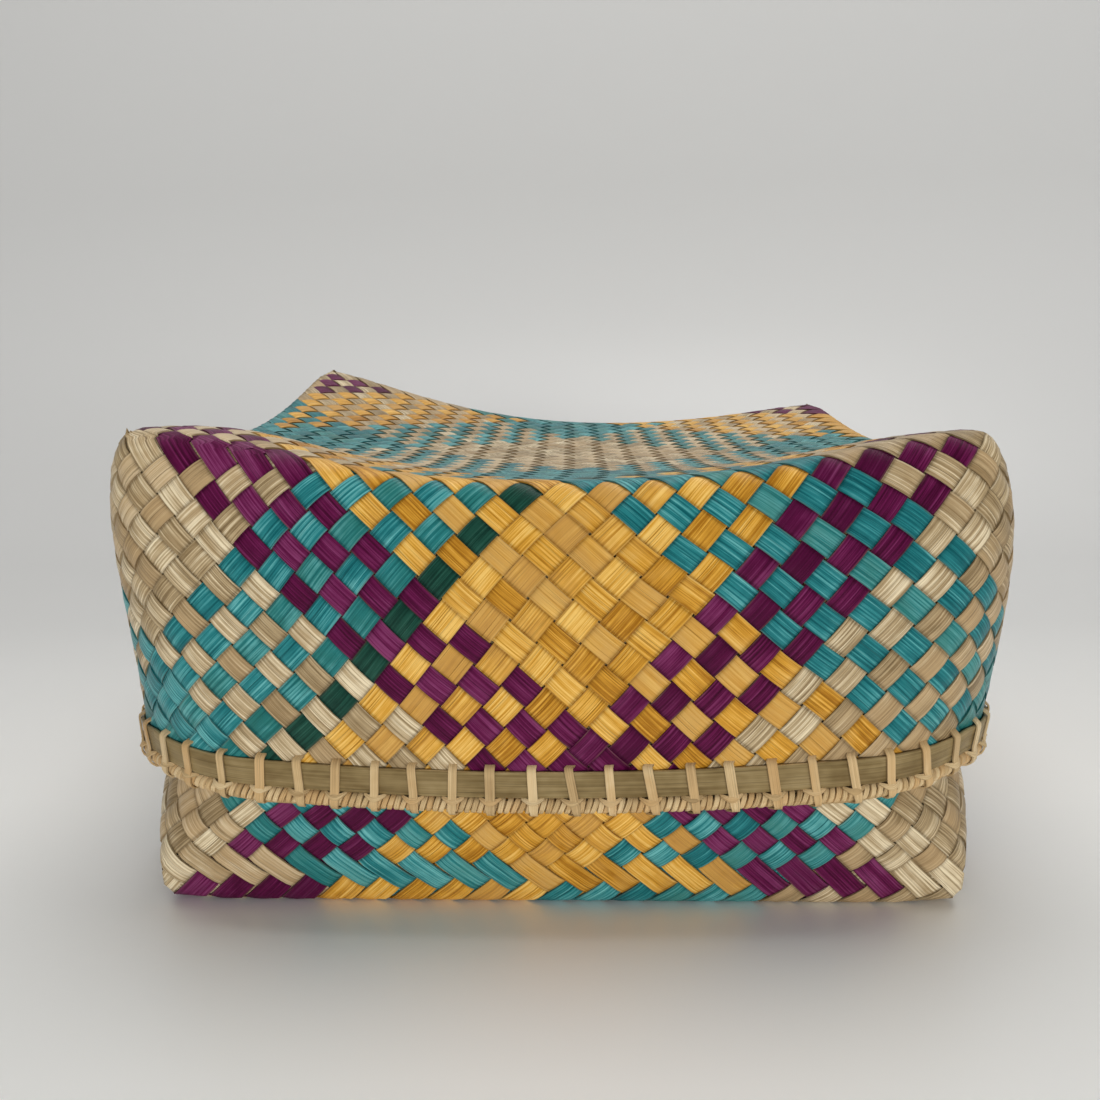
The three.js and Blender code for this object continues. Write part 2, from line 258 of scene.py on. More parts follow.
def plait(name, basket, spare, lift, thickness, crown, wave, columns, steps, tones, over, seed):
    """Plaits a basket: each strip runs up one wall, across the flat and down another wall."""
    chance = random.Random(seed)
    meshes = {}
    for is_rising in (True, False):
        first = 0 if is_rising else -strips_right
        for number in range(first, first + strips_right + strips_back):
            middle = number + 0.5 + chance.uniform(-middle_play, middle_play)
            half = (1 - spare) / 2 * chance.uniform(narrowest, widest)
            tone = tones(is_rising, number)
            shade = chance.random()
            start = chance.uniform(0, grain_shift)

            def unfolded(run, lane):
                i, j = (lane, run) if is_rising else (run, lane)
                x = (strips_right * i + strips_back * j) / strip_count
                y = (strips_back * i - strips_right * j) / strip_count
                return x, y

            runs = np.arange(first_crossing, last_crossing, fine_step)
            x, y = unfolded(runs, np.full_like(runs, middle))
            on_flat = (x > 0) & (x < 1) & (y > 0) & (y < 1)
            inside = runs[on_flat]
            ends = []
            for at, direction in ((inside[0], -1), (inside[-1], 1)):
                x, y = unfolded(at, middle)
                edge = int(np.argmin([y, 1 - x, 1 - y, x]))
                tail = at + direction * np.arange(0, longest_tail, fine_step)
                x, y = unfolded(tail, np.full_like(tail, middle))
                depth = [-y, x - 1, y - 1, -x][edge] * 2 * basket.half_width
                along = edge + [x, y, 1 - x, 1 - y][edge]
                is_past = depth > basket.full_length(along) + rim_overrun
                ends.append((edge, tail[np.argmax(is_past)]))
            (first_edge, low), (last_edge, high) = ends
            inner = np.arange(math.ceil(low * steps + 0.3), math.floor(high * steps - 0.3) + 1) / steps
            runs = np.concatenate([[low], inner, [high]])
            turning = (inside[0] + inside[-1]) / 2

            edges = np.where(runs < turning, first_edge, last_edge)
            level = over(is_rising, number, np.floor(runs - 0.5).astype(int), edges)
            following = over(is_rising, number, np.floor(runs - 0.5).astype(int) + 1, edges)
            phase = runs - 0.5 - np.floor(runs - 0.5)
            swing = np.cos(math.pi * phase)
            swing = np.sign(swing) * abs(swing) ** plateau
            height = level * (1 + swing) / 2 + following * (1 - swing) / 2
            # Where a strip dives under its neighbour, kept to mask its painted shade
            dives = 1 - abs(height)
            height = lift + wave * height
            lanes = np.linspace(-1, 1, columns)
            rows = []
            for lane in lanes:
                x, y = unfolded(runs, np.full_like(runs, middle + half * lane))
                sides = [basket.skin_and_normal(edge, x, y) for edge in (first_edge, last_edge)]
                is_first = (runs < turning)[:, None]
                place = np.where(is_first, sides[0][0], sides[1][0])
                normal = np.where(is_first, sides[0][1], sides[1][1])
                arch = crown * (1 - lane ** 2)
                rows.append((place, normal, height + arch))

            section = [(k, thickness / 2) for k in range(columns)]
            section += [(k, -thickness / 2) for k in reversed(range(columns))]
            pitch = 2 * basket.half_width / math.sqrt(strip_count) * decimetres
            places, fibres = [], []
            for step, run in enumerate(runs):
                places.append([
                    rows[k][0][step] + rows[k][1][step] * (rows[k][2][step] + side) for k, side in section
                ])
                fibres.append([
                    (start + run * pitch, lanes[k] * half * pitch + number, shade)
                    for k, _ in section
                ])
            if tone not in meshes:
                meshes[tone] = new_strips()
            sweep(meshes[tone], places, fibres, [lanes[k] for k, _ in section], dives=dives)
    return {tone: finished(mesh, f"{name}_{tone}") for tone, mesh in meshes.items()}


def finished(mesh, name, sharp_angle=40):
    """Closes a mesh's seams, faces it outwards and puts it in the scene."""
    bmesh.ops.remove_doubles(mesh, verts=mesh.verts, dist=1e-7)
    bmesh.ops.recalc_face_normals(mesh, faces=mesh.faces)
    for face in mesh.faces:
        face.smooth = True
    data = bpy.data.meshes.new(name)
    mesh.to_mesh(data)
    mesh.free()
    data.set_sharp_from_angle(angle=math.radians(sharp_angle))
    piece = bpy.data.objects.new(name, data)
    bpy.context.scene.collection.objects.link(piece)
    return piece


def dye(is_rising, number):
    """The dyed bands repeat on all four sides: natural, teal, orange, purple, then natural again."""
    place = abs(strips_back - number) if is_rising else abs(number)
    bands = ((6, "natural"), (12, "teal"), (18, "orange"), (22, "purple"))
    tone = next((tone for limit, tone in bands if place < limit), "natural")
    return "green" if number == 11 and not is_rising else tone


def plain_over(is_rising, number, crossing, edges):
    """Over one, under one."""
    is_over = (number + crossing) % 2 == (1 if is_rising else 0)
    return np.where(is_over, 1.0, -1.0)


def base_dye(is_rising, number):
    """The base was folded up one strip to the side of the lid's fold, and has no green strip."""
    tone = dye(is_rising, number + 1)
    return "teal" if tone == "green" else tone


def floating_over(first_row, last_row):
    """Over one, under one, but the strips float over two where the weave turns into these rows of a wall."""
    def over(is_rising, number, crossing, edges):
        i, j = (number + 0.5, crossing + 0.5) if is_rising else (crossing + 0.5, number + 0.5)
        x = (strips_right * i + strips_back * j) / strip_count
        y = (strips_back * i - strips_right * j) / strip_count
        depth = np.choose(edges, [-y, x - 1, y - 1, -x])
        along = np.choose(edges, [x, y, 1 - x, 1 - y])
        along = along - np.floor(along)
        row = np.floor(strips_back * along + strips_right * depth)
        row = row - np.floor(strips_right * along - strips_back * depth)
        is_plain = (row >= first_row) & (row <= last_row)
        return plain_over(is_rising, number, crossing, edges) * np.where(is_plain, 1, -1)

    return over


base_basket = Basket(
    base_wall, base_flat, foot_half_width, wallwards=1, fold_radius=0.0012, slack=(-0.007, 0, 0, 0),
    wander=0.0012,
)
base_plait = plait(
    "base_strips", base_basket, spare=0.06, lift=-0.00093, thickness=0.0005, crown=0.00012, wave=0.00055,
    columns=3, steps=4, tones=base_dye, over=floating_over(1, 2), seed=11,
)


def fibre_group():
    """Split bamboo: long parallel fibres, cloudy dye, dark pores, bare edges where the dye wears off, and a
    mask of painted shade where a strip dives under its neighbour and along its edges.
    """
    group = bpy.data.node_groups.new("split_bamboo", "ShaderNodeTree")
    face = group.interface
    settings = (("Fibre", 170.0), ("Strip", 0.5), ("Streak", 0.6), ("Cloud", 0.3), ("Edge Wear", 0.5))
    for name, value in settings:
        socket = face.new_socket(name=name, in_out="INPUT", socket_type="NodeSocketFloat")
        socket.default_value = value
    for name in ("Tone", "Drift", "Pores", "Bare Edge", "Painted Crevice Shade", "Height"):
        face.new_socket(name=name, in_out="OUTPUT", socket_type="NodeSocketFloat")
    nodes, links = group.nodes, group.links
    inputs = nodes.new("NodeGroupInput")
    outputs = nodes.new("NodeGroupOutput")
    fibre = nodes.new("ShaderNodeAttribute")
    fibre.attribute_name = "fibre"
    across = nodes.new("ShaderNodeAttribute")
    across.attribute_name = "across"
    dive = nodes.new("ShaderNodeAttribute")
    dive.attribute_name = "dive"
    split = nodes.new("ShaderNodeSeparateXYZ")
    links.new(fibre.outputs["Vector"], split.inputs[0])

    def joined(operation, first, second):
        math_node = nodes.new("ShaderNodeMath")
        math_node.operation = operation
        for socket, value in zip(math_node.inputs, (first, second)):
            if isinstance(value, float):
                socket.default_value = value
            else:
                links.new(value, socket)
        return math_node.outputs[0]

    def stretched(along, sideways, detail):
        """Noise drawn out along the strip, its scales counted to the decimetre."""
        place = nodes.new("ShaderNodeCombineXYZ")
        links.new(joined("MULTIPLY", split.outputs["X"], along), place.inputs["X"])
        links.new(joined("MULTIPLY", split.outputs["Y"], sideways), place.inputs["Y"])
        links.new(split.outputs["Z"], place.inputs["Z"])
        noise = nodes.new("ShaderNodeTexNoise")
        noise.inputs["Scale"].default_value = 1
        noise.inputs["Detail"].default_value = detail
        noise.inputs["Roughness"].default_value = 0.6
        links.new(place.outputs[0], noise.inputs["Vector"])
        return noise.outputs["Fac"]

    def ranged(value, low, high):
        limits = nodes.new("ShaderNodeMapRange")
        limits.inputs["From Min"].default_value = low
        limits.inputs["From Max"].default_value = high
        links.new(value, limits.inputs["Value"])
        return limits.outputs["Result"]

    def spread(value, amount):
        return joined("MULTIPLY", joined("SUBTRACT", value, 0.5), amount)

    fine = joined("MULTIPLY", inputs.outputs["Fibre"], 1.9)
    streaks = ranged(stretched(3.0, inputs.outputs["Fibre"], 4.0), 0.3, 0.7)
    clouds = ranged(stretched(9.0, 12.0, 2.0), 0.3, 0.7)
    tone = joined("ADD", 0.5, spread(split.outputs["Z"], inputs.outputs["Strip"]))
    tone = joined("ADD", tone, spread(streaks, inputs.outputs["Streak"]))
    tone = joined("ADD", tone, spread(clouds, inputs.outputs["Cloud"]))
    strip_hue = joined("MULTIPLY", split.outputs["Z"], 7.0)
    drift = ranged(joined("PINGPONG", joined("ADD", strip_hue, spread(clouds, 0.4)), 1.0), 0.45, 0.95)
    pores = ranged(stretched(2.0, fine, 1.0), 0.6, 0.72)
    distance = joined("ABSOLUTE", across.outputs["Fac"], 0.0)
    ragged = joined("MULTIPLY", ranged(stretched(9.0, 4.0, 3.0), 0.4, 0.75), inputs.outputs["Edge Wear"])
    edge = joined("MULTIPLY", ranged(distance, 0.86, 0.98), ragged)
    links.new(tone, outputs.inputs["Tone"])
    links.new(pores, outputs.inputs["Pores"])
    links.new(edge, outputs.inputs["Bare Edge"])
    links.new(drift, outputs.inputs["Drift"])
    # Painted shade: darkest where a strip dives under its neighbour and along its edges, where the crossing
    # strips' shadows fall
    dive_shade = joined("POWER", dive.outputs["Fac"], 5.0)
    links.new(joined("MAXIMUM", dive_shade, ranged(distance, 0.9, 1.02)), outputs.inputs["Painted Crevice Shade"])
    links.new(joined("SUBTRACT", streaks, pores), outputs.inputs["Height"])
    return group


split_bamboo = fibre_group()


def painted(red, green, blue):
    """A colour as a painter's chart gives it, for the renderer's linear light."""
    linear = [
        c / 12.92 if c <= 0.04045 else ((c + 0.055) / 1.055) ** 2.4
        for c in (red / 255, green / 255, blue / 255)
    ]
    return (*linear, 1)


def mixed(tree, share, first, second):
    """Two colours, mixed by a mask."""
    node = tree.nodes.new("ShaderNodeMix")
    node.data_type = "RGBA"
    node.clamp_factor = True
    tree.links.new(share, node.inputs["Factor"])
    for socket, value in ((node.inputs["A"], first), (node.inputs["B"], second)):
        if isinstance(value, tuple):
            socket.default_value = value
        else:
            tree.links.new(value, socket)
    return node.outputs["Result"]


def dyed_strip(
    name, deep, plain, pale, tint, bare, roughness=0.42, fibre=170.0, strip=0.45, streak=0.95, cloud=0.3,
    drift=0.7, pores=0.55, wear=0.2, crevice_shade=0.55, gloss=0.24,
):
    """Dyed bamboo strip: deep in the pores, pale on the ribs, tinted on some strips, bare where worn, with
    painted shade where it dives under a neighbour and along its edges.
    """
    material = bpy.data.materials.new(name)
    material.use_nodes = True
    tree = material.node_tree
    shader = tree.nodes["Principled BSDF"]
    grain = tree.nodes.new("ShaderNodeGroup")
    grain.node_tree = split_bamboo
    for socket, value in (
        ("Fibre", fibre), ("Strip", strip), ("Streak", streak), ("Cloud", cloud), ("Edge Wear", wear)
    ):
        grain.inputs[socket].default_value = value

    def weakened(output, amount):
        weaker = tree.nodes.new("ShaderNodeMath")
        weaker.operation = "MULTIPLY"
        tree.links.new(grain.outputs[output], weaker.inputs[0])
        weaker.inputs[1].default_value = amount
        return weaker.outputs[0]

    ramp = tree.nodes.new("ShaderNodeValToRGB")
    ramp.color_ramp.elements.new(0.5)
    for stop, (place, colour) in zip(ramp.color_ramp.elements, ((0.05, deep), (0.5, plain), (0.95, pale))):
        stop.position, stop.color = place, colour
    tree.links.new(grain.outputs["Tone"], ramp.inputs["Fac"])
    # Dark for the pores, and for the painted shade in dives and along edges
    pore_and_shade_dark = tuple(0.4 * c for c in deep[:3]) + (1,)
    colour = mixed(tree, weakened("Drift", drift), ramp.outputs["Color"], tint)
    colour = mixed(tree, weakened("Pores", pores), colour, pore_and_shade_dark)
    colour = mixed(tree, grain.outputs["Bare Edge"], colour, bare)
    # Painted shade where the strip dives under its neighbour and along its edges
    colour = mixed(tree, weakened("Painted Crevice Shade", crevice_shade), colour, pore_and_shade_dark)
    tree.links.new(colour, shader.inputs["Base Color"])
    shader.inputs["Roughness"].default_value = roughness
    shader.inputs["Specular IOR Level"].default_value = gloss
    bump = tree.nodes.new("ShaderNodeBump")
    bump.inputs["Strength"].default_value = 0.5
    bump.inputs["Distance"].default_value = 0.0001
    tree.links.new(grain.outputs["Height"], bump.inputs["Height"])
    tree.links.new(bump.outputs["Normal"], shader.inputs["Normal"])
    return material


bare_bamboo = painted(214, 190, 148)
dyes = {
    "natural": dyed_strip(
        "natural_strip", painted(132, 110, 76), painted(184, 161, 123), painted(240, 224, 190),
        painted(190, 158, 114), bare_bamboo, 0.4, strip=0.55, drift=0.6, gloss=0.3,
    ),
    "teal": dyed_strip(
        "teal_strip", painted(6, 88, 94), painted(42, 130, 134), painted(112, 188, 188),
        painted(36, 106, 96), bare_bamboo, 0.36,
    ),
    "green": dyed_strip(
        "green_strip", painted(8, 50, 40), painted(30, 78, 64), painted(58, 104, 90),
        painted(44, 84, 62), bare_bamboo,
    ),
    "orange": dyed_strip(
        "orange_strip", painted(164, 108, 22), painted(218, 160, 56), painted(246, 202, 112),
        painted(198, 152, 84), bare_bamboo, 0.4, strip=0.5,
    ),
    "purple": dyed_strip(
        "purple_strip", painted(62, 0, 38), painted(98, 18, 68), painted(132, 58, 104),
        painted(70, 4, 46), bare_bamboo, 0.48, strip=0.4, gloss=0.2,
    ),
}


def dress_basket(pieces, body, node):
    """Gives each colour of strip its finish and its place in the frame."""
    for tone, piece in pieces.items():
        piece.data.materials.append(dyes[tone])
        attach(piece, body)
        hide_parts(node)


dress_basket(base_plait, "base", "base_outer_weave")


# Base, lining
# An undyed basket of the same plain weave, plaited inside the dyed one and folded up with it.
# The two walls together are stiff, and the rim clamps them both.

# The lining strips carry the painted shade at their dives and edges too
plain_strip = dyed_strip(
    "plain_strip", painted(140, 116, 80), painted(178, 154, 112), painted(210, 188, 146),
    painted(188, 158, 108), bare_bamboo, 0.55,
)


def line_basket(basket, half, seed):
    """Plaits the lining of one half of the box."""
    lining = plait(
        f"{half}_lining_strips", basket, spare=0.04, lift=-0.0022, thickness=0.0004, crown=0, wave=0.0003,
        columns=2, steps=2, tones=lambda is_rising, number: "plain", over=plain_over, seed=seed,
    )["plain"]
    lining.data.materials.append(plain_strip)
    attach(lining, half)
    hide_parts(f"{half}_lining")


line_basket(base_basket, "base", 21)


# Base, rim slats
# Two split bamboo slats, bent round the edge of the basket, one on each face. Their skin side is
# olive and smooth, and the cut edges show the pale core.

slat_height = 0.008
slat_edge = 0.00025
fit_gap = 0.0003
outer_slat_thickness = 0.0012
inner_slat_thickness = 0.001
wall_depth = 0.003
slat_grain_length = 4.04 * 2.6
slat_shade = 0.3


class Rim:
    """The edge of a basket, with frames along it: along the edge, up the wall from it, and outwards."""

    def __init__(self, basket):
        self.basket = basket

    def frames(self, turn):
        """The edge, and its three directions, at each of these turns."""
        turn = np.asarray(turn, float)
        edge = self.basket.wall(turn, np.ones_like(turn))
        wallwards = self.basket.wall(turn, np.full_like(turn, 0.97)) - edge
        step = 0.002
        behind, ahead = (self.basket.wall(turn + side * step, np.ones_like(turn)) for side in (-1, 1))
        along = ahead - behind
        along /= np.linalg.norm(along, axis=-1, keepdims=True)
        outward = np.cross(along, (0, 0, 1.0))
        outward /= np.linalg.norm(outward, axis=-1, keepdims=True)
        wallwards -= along * np.sum(wallwards * along, axis=-1, keepdims=True)
        wallwards /= np.linalg.norm(wallwards, axis=-1, keepdims=True)
        outward -= wallwards * np.sum(outward * wallwards, axis=-1, keepdims=True)
        outward /= np.linalg.norm(outward, axis=-1, keepdims=True)
        return edge, along, wallwards, outward

    def side_turns(self, side, shares):
        """Turns at shares of the real length of one side, which runs from corner to corner."""
        fine = np.linspace(side, side + 1, 400)
        edge = self.basket.wall(fine, np.ones_like(fine))
        run = np.concatenate([[0], np.cumsum(np.linalg.norm(np.diff(edge, axis=0), axis=1))])
        return np.interp(np.asarray(shares) * run[-1], run, fine), run[-1]


def hoop(name, rim, section, steps=288):
    """A bent slat: one section, given up the wall and outwards, carried all the way round."""
    mesh = new_strips()
    turns = np.arange(steps) * 4 / steps
    edge, along, wallwards, outward = rim.frames(turns)
    run = np.arange(steps) * slat_grain_length / steps
    places = [
        [edge[k] + wallwards[k] * up + outward[k] * out for up, out, _ in section] for k in range(steps)
    ]
    fibres = [[(run[k], up * decimetres, slat_shade) for up, _, _ in section] for k in range(steps)]
    sweep(mesh, places, fibres, [lane for _, _, lane in section], is_loop=True)
    return finished(mesh, name, 50)


def slat_section(inside, thickness):
    """A slat's outline with eased edges: up the wall, outwards, and how near the cut edge."""
    low, high, bevel = 0, slat_height, slat_edge
    outside, skin = inside + thickness, 0.8
    return [
        (low + bevel, inside, 1), (low, inside + bevel, 1),
        (low, outside - bevel, 1), (low + bevel, outside, skin),
        (high - bevel, outside, skin), (high, outside - bevel, 1),
        (high, inside + bevel, 1), (high - bevel, inside, 1),
    ]


slat_finish = dyed_strip(
    "slat_skin", painted(112, 92, 56), painted(144, 124, 84), painted(170, 150, 110),
    painted(138, 116, 72), painted(200, 174, 126), 0.4, streak=0.5, cloud=0.5, wear=1.0, crevice_shade=0,
)


def clamp_rim(rim, half):
    """Lays both slats on the edge of one half of the box."""
    outer = hoop(f"{half}_outer_slat", rim, slat_section(fit_gap, outer_slat_thickness))
    inner = hoop(
        f"{half}_inner_slat", rim, slat_section(-wall_depth - inner_slat_thickness, inner_slat_thickness)
    )
    for piece, node in ((outer, "outer"), (inner, "inner")):
        piece.data.materials.append(slat_finish)
        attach(piece, half)
        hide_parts(f"{half}_rim_{node}_slat")


base_rim = Rim(base_basket)
clamp_rim(base_rim, "base")


# Base, rim cane and its binding
# A thin cane lies along the edge, and split rattan winds round it six times, then laces through the
# weave and over the slat, and is caught in a half hitch before it winds on.

lashings_per_side = 22
winds_per_lashing = 6
cane_drop = 0.0028
cane_set_back = -0.00025
wind_inner, wind_outer = 0.00165, 0.0025
wind_lean = 0.0007
wind_steps = 10
wind_fill = 0.93
rattan_width = 0.0027
rattan_half = 0.0003
pulled_below, pulled_share = -0.0034, 0.8
hitch_reach, hitch_half_width, hitch_half = 0.0033, 0.00095, 0.00028
hitch_gap, hitch_bulge = 0.00035, 0.00065
hitch_steps = 9
hitch_grain, rattan_lane, lashing_lane, strand_shift = 0.03, 0.009, 0.0135, 30
# Up the wall and outwards, in millimetres
lashing_path = (
    (9.7, -2.2), (9.5, -0.2), (9.1, 1.0), (8.5, 1.75), (7.4, 1.95), (4.0, 1.98), (0.9, 1.98), (-0.5, 2.3),
    (-1.8, 2.65), (-2.9, 2.75), (-4.2, 2.35), (-5.3, 1.3), (-5.75, -0.3), (-5.2, -1.9), (-3.6, -3.0),
    (-1.2, -3.9), (0.3, -4.35), (4.0, -4.4), (8.0, -4.4), (9.1, -3.8),
)


def wind(mesh, frame_at, width, chance):
    """One turn of the rattan round the cane, leaning as the strand travels."""
    edge, along, wallwards, outward = frame_at
    lean = wind_lean * chance.uniform(0.6, 1.5)
    tight = chance.uniform(-0.00008, 0.00012)
    shade, start = chance.random(), chance.uniform(0, strand_shift)
    shoulder = wind_outer - 0.0001
    section = ((-1, wind_inner), (-0.78, shoulder), (0.0, wind_outer), (0.78, shoulder), (1, wind_inner))
    places, fibres = [], []
    for step in range(wind_steps):
        angle = 2 * math.pi * step / wind_steps
        ray = outward * math.cos(angle) + wallwards * math.sin(angle)
        centre = edge - wallwards * cane_drop + outward * cane_set_back + along * lean * math.sin(angle)
        places.append([
            centre + along * width * lane + ray * (reach + (tight if reach > wind_inner else 0))
            for lane, reach in section
        ])
        run = angle * wind_outer * decimetres
        fibres.append([(start + run, lane * rattan_lane, shade) for lane, _ in section])
    sweep(mesh, places, fibres, [lane for lane, _ in section], is_loop=True)


def lash(mesh, frame_at, chance):
    """One lashing: a flat loop of rattan over both slats and round the cane."""
    edge, along, wallwards, outward = frame_at
    slant = chance.uniform(-0.0002, 0.0014)
    width = rattan_width / 2 * chance.uniform(0.88, 1.1)
    shade, start = chance.random(), chance.uniform(0, strand_shift)
    points = np.array(lashing_path) / 1000
    tangents = np.roll(points, -1, axis=0) - np.roll(points, 1, axis=0)
    tangents /= np.linalg.norm(tangents, axis=1, keepdims=True)
    section = ((-1, -1), (1, -1), (1, 0.7), (0, 1.25), (-1, 0.7))
    places, fibres = [], []
    run = 0
    for k, (up, out) in enumerate(points):
        normal = np.array((-tangents[k][1], tangents[k][0]))
        shift = slant * (0.5 - up / slat_height) if out > 0 else 0
        narrow = width * (pulled_share if up < pulled_below and out > 0 else 1)
        ring = []
        for lane, side in section:
            spot = np.array((up, out)) + normal * side * rattan_half
            ring.append(edge + along * (shift + narrow * lane) + wallwards * spot[0] + outward * spot[1])
        places.append(ring)
        fibres.append([(start + run * decimetres, lane * lashing_lane, shade) for lane, _ in section])
        run += np.linalg.norm(points[(k + 1) % len(points)] - points[k])
    sweep(mesh, places, fibres, [lane for lane, _ in section], is_loop=True)


def hitch(mesh, frame_at, chance):
    """The half hitch: the strand crosses in front of the lashing, just under the slat."""
    edge, along, wallwards, outward = frame_at
    shade, start = chance.random(), chance.uniform(0, strand_shift)
    drop = chance.uniform(24, 36)
    section = ((-1, -1), (1, -1), (1, 0.6), (0, 1), (-1, 0.6))
    places, fibres = [], []
    for step in np.linspace(-1, 1, hitch_steps):
        angle = math.radians(62 - drop * (1 - step ** 2))
        ray = outward * math.cos(angle) + wallwards * math.sin(angle)
        turned = wallwards * math.cos(angle) - outward * math.sin(angle)
        reach = wind_outer + hitch_gap + hitch_bulge * (1 - step ** 2)
        half = hitch_half_width * (1 - 0.55 * step ** 2)
        centre = edge - wallwards * cane_drop + outward * cane_set_back
        centre = centre + along * hitch_reach * step + ray * reach
        places.append([centre + turned * half * lane + ray * hitch_half * side for lane, side in section])
        fibres.append([(start + step * hitch_grain, lane * rattan_lane, shade) for lane, _ in section])
    sweep(mesh, places, fibres, [lane for lane, _ in section])


# Painted shade darkens the rattan strands along their edges
rattan_finish = dyed_strip(
    "rattan_strip", painted(166, 136, 94), painted(208, 179, 132), painted(236, 212, 168),
    painted(206, 166, 112), painted(224, 200, 156), 0.45, 420.0, streak=0.5, wear=0.5, crevice_shade=0.4,
)


def bind_rim(rim, half, seed):
    """Binds one rim with four strands, one to a side, and finishes the cane under them."""
    chance = random.Random(seed)
    for side, place in enumerate(("front", "right", "back", "left")):
        mesh = new_strips()
        spots = [
            (k + 0.5 + chance.uniform(-0.06, 0.06)) / lashings_per_side for k in range(lashings_per_side)
        ]
        turns, _ = rim.side_turns(side, spots)
        for frame_at in zip(*rim.frames(turns)):
            lash(mesh, frame_at, chance)
            hitch(mesh, frame_at, chance)
        bounds = [0, *spots, 1]
        wound = []
        for first, last in zip(bounds, bounds[1:]):
            count = max(1, round((last - first) * lashings_per_side * winds_per_lashing))
            wound += [first + (last - first) * (k + 0.5) / count for k in range(count)]
        turns, length = rim.side_turns(side, wound)
        width = length / lashings_per_side / winds_per_lashing / 2 * wind_fill
        for frame_at in zip(*rim.frames(turns)):
            wind(mesh, frame_at, width, chance)
        strand = finished(mesh, f"{half}_binding_{place}", 60)
        strand.data.materials.append(rattan_finish)
        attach(strand, half)
        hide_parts(f"{half}_rim_binding_{place}")
    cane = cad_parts[f"{half}_rim_cane"]
    cane.data.materials.clear()
    cane.data.materials.append(cane_finish)


def cane_wood():
    """Round rattan cane: a matt skin with faint long grooves."""
    material = bpy.data.materials.new("cane_skin")
    material.use_nodes = True
    tree = material.node_tree
    shader = tree.nodes["Principled BSDF"]
    place = tree.nodes.new("ShaderNodeTexCoord")
    noise = tree.nodes.new("ShaderNodeTexNoise")
    noise.inputs["Scale"].default_value = 900
    noise.inputs["Detail"].default_value = 3
    tree.links.new(place.outputs["Object"], noise.inputs["Vector"])
    tint = mixed(tree, noise.outputs["Fac"], painted(150, 120, 78), painted(190, 160, 112))
    tree.links.new(tint, shader.inputs["Base Color"])
    shader.inputs["Roughness"].default_value = 0.6
    return material


cane_finish = cane_wood()
bind_rim(base_rim, "base", 31)


# Lid, outer basket
# The upper half, plaited as the base is, then pulled down over a block. Its fold sags between the
# four tips, which are pinched up by hand, and its walls round off towards the rim.

ridge_half_width = 0.1295
lid_rim_half_width = 0.1405
lid_rim_corner_radius = 0.055
lid_lean = 0.0016
front_left_tip, front_right_tip, back_right_tip, back_left_tip = 0.1485, 0.147, 0.138, 0.158
front_sag, right_sag, back_sag, left_sag = 0.013, 0.012, 0.018, 0.0135
crown_lift = 0.0075
# Across, back and how far it reaches, as shares of the half width, then how high
corner_puffs = (
    (-0.76, -0.8, 0.3, 0.009), (0.8, -0.8, 0.3, 0.005), (-1, 1, 0.55, 0.0055), (1, 1, 0.8, 0.003),
)
lid_rim_height = 0.058
lid_rim_sag = 0.0065


def top_height(across, back):
    """The lid's top sags between its tips, and puffs up near them."""
    left, right, front, rear = (1 - across) / 2, (1 + across) / 2, (1 - back) / 2, (1 + back) / 2
    tips = front * (left * front_left_tip + right * front_right_tip)
    tips = tips + rear * (left * back_left_tip + right * back_right_tip)
    across_dip, back_dip = 1 - across ** 2, 1 - back ** 2
    sag = across_dip * (front * front_sag + rear * back_sag)
    sag = sag + back_dip * (left * left_sag + right * right_sag)
    for puff_across, puff_back, reach, puff in corner_puffs:
        tips = tips + puff * np.exp(-((across - puff_across) ** 2 + (back - puff_back) ** 2) / reach ** 2)
    return tips - sag + crown_lift * across_dip * back_dip


def lid_wall(turn, down):
    """The lid's walls round off between the sagging fold and the rim."""
    bulge = 1 - (1 - np.clip(down, 0, 1)) ** 5
    half_width = ridge_half_width + (lid_rim_half_width - ridge_half_width) * bulge
    radius = corner_fold_radius + (lid_rim_corner_radius - corner_fold_radius) * np.clip(down, 0, None) ** 0.6
    x, y = ring_place(turn, half_width, radius)
    edge_x, edge_y = ring_place(turn, ridge_half_width, corner_fold_radius)
    ridge = top_height(edge_x / ridge_half_width, edge_y / ridge_half_width)
    share = 2 * (turn - np.floor(turn)) - 1
    rim = lid_rim_height - lid_rim_sag * (1 - share ** 2) - slat_height
    return np.stack([x + lid_lean * np.sin(math.pi * down), y, ridge + (rim - ridge) * down], -1)


def lid_flat(across, back):
    """The lid's top, as far as the fold."""
    x, y = flat_place(across, back, ridge_half_width)
    return np.stack([x, y, top_height(x / ridge_half_width, y / ridge_half_width)], -1)


lid_pushes = (
    {"x": 0.33, "y": -0.0745, "wide": 0.32, "deep": 0.17, "right": -0.0286, "back": 0.012},
    {"x": 0.13, "y": -0.02, "wide": 0.16, "deep": 0.3, "right": 0, "back": -0.028},
)
lid_basket = Basket(
    lid_wall, lid_flat, ridge_half_width, wallwards=-1, fold_radius=0.002, slack=(0.011, 0.008, 0.01, 0.006),
    wander=0.0012, pushes=lid_pushes,
)
lid_plait = plait(
    "lid_strips", lid_basket, spare=0.06, lift=-0.0008, thickness=0.0005, crown=0.00012, wave=0.00055,
    columns=3, steps=4, tones=dye, over=floating_over(1, 99), seed=5,
)
dress_basket(lid_plait, "lid", "lid_outer_weave")


# Lid, lining and rim
# The lid has the base's undyed lining, two bamboo slats, cane and split rattan binding. Its rim
# faces down, so the cane hangs below the slats, and it slides down outside the base's.

line_basket(lid_basket, "lid", 23)
lid_rim = Rim(lid_basket)
clamp_rim(lid_rim, "lid")
bind_rim(lid_rim, "lid", 37)


# Camera and light
# The box stands on a pale, slightly glossy table that rises into the wall behind it. The light is
# soft daylight from above, with a lower, wider light from the front.

